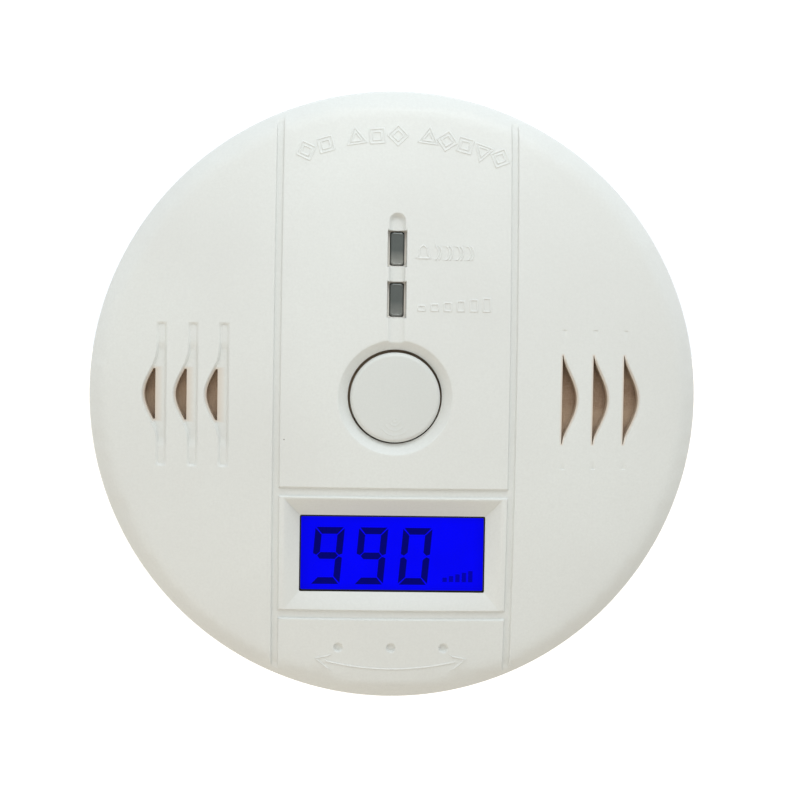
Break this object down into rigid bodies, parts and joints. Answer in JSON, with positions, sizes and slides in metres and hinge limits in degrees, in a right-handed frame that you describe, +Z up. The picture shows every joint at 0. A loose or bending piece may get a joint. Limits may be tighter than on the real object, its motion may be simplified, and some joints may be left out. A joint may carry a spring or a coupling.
{
  "type": "carbon monoxide detector",
  "caption": "Round battery-powered carbon monoxide alarm on a twist-off wall bracket, with a domed face, test button, backlit number display, status lamps and vents.",
  "frame": {"origin": "centre of the wall bracket's rear face, on the wall", "axes": "+Z up the wall, -Y out of the wall through the middle of the face, +X to the right of a person who looks at the face"},
  "size_m": [0.1, 0.0374, 0.1],
  "materials": {
    "casing_white": "satin moulding with a fine grain",
    "smoke_lens": "gloss",
    "display": "gloss, lit from behind",
    "diffuser": "satin",
    "screen": "brown felt",
    "board": "matte phenolic board",
    "black_plastic": "matte",
    "brass": "satin",
    "ceramic": "matte",
    "steel": "satin nickel plate",
    "copper": "gloss enamelled copper wire",
    "red_plastic": "gloss",
    "green_plastic": "gloss",
    "rubber": "matte",
    "cell": "gloss printed wrap"
  },
  "bodies": {
    "bracket": {"wall_bracket": "casing_white"},
    "detector": {"rear_housing": "casing_white", "front_cover": "casing_white", "dust_screen_left": "screen", "dust_screen_right": "screen", "tact_switch_body": "black_plastic", "alarm_light_pipe": "smoke_lens", "alarm_led": "red_plastic", "operate_light_pipe": "smoke_lens", "operate_led": "green_plastic", "display_glass": "display", "display_backlight": "diffuser", "display_holder": "diffuser", "display_connector_upper": "rubber", "display_connector_lower": "rubber", "circuit_board": "board", "microcontroller": "black_plastic", "step_up_coil": "copper", "capacitor": "black_plastic", "transistor": "black_plastic", "siren_housing": "black_plastic", "siren_piezo_plate": "brass", "siren_piezo_ceramic": "ceramic", "co_sensor_body": "diffuser", "co_sensor_cap": "steel", "battery_1": "cell", "battery_2": "cell", "battery_3": "cell", "battery_contact_positive": "steel", "battery_contact_negative": "steel", "battery_bridge_right": "steel", "battery_bridge_left": "steel", "battery_wire_red": "red_plastic", "battery_wire_black": "black_plastic", "board_screw_1": "steel", "board_screw_2": "steel", "board_screw_3": "steel", "board_screw_4": "steel", "case_screw_1": "steel", "case_screw_2": "steel", "case_screw_3": "steel", "case_screw_4": "steel"},
    "button": {"test_button": "casing_white"},
    "switch_plunger": {"tact_switch_plunger": "black_plastic"}
  },
  "joints": [
    {"name": "detector_twist", "type": "hinge", "parent": "bracket", "child": "detector", "pos_m": [0, 0, 0], "axis": [0, -1, 0], "range_deg": [0, 24]},
    {"name": "button_press", "type": "slide", "parent": "detector", "child": "button", "axis": [0, 1, 0], "range_m": [0, 0.0005], "stiffness_N_per_m": 300, "springref_m": -0.0005},
    {"name": "plunger_press", "type": "slide", "parent": "detector", "child": "switch_plunger", "axis": [0, 1, 0], "range_m": [0, 0.00025]}
  ],
  "couplings": [
    {"joint": "plunger_press", "follows": "button_press", "ratio": 0.5}
  ]
}
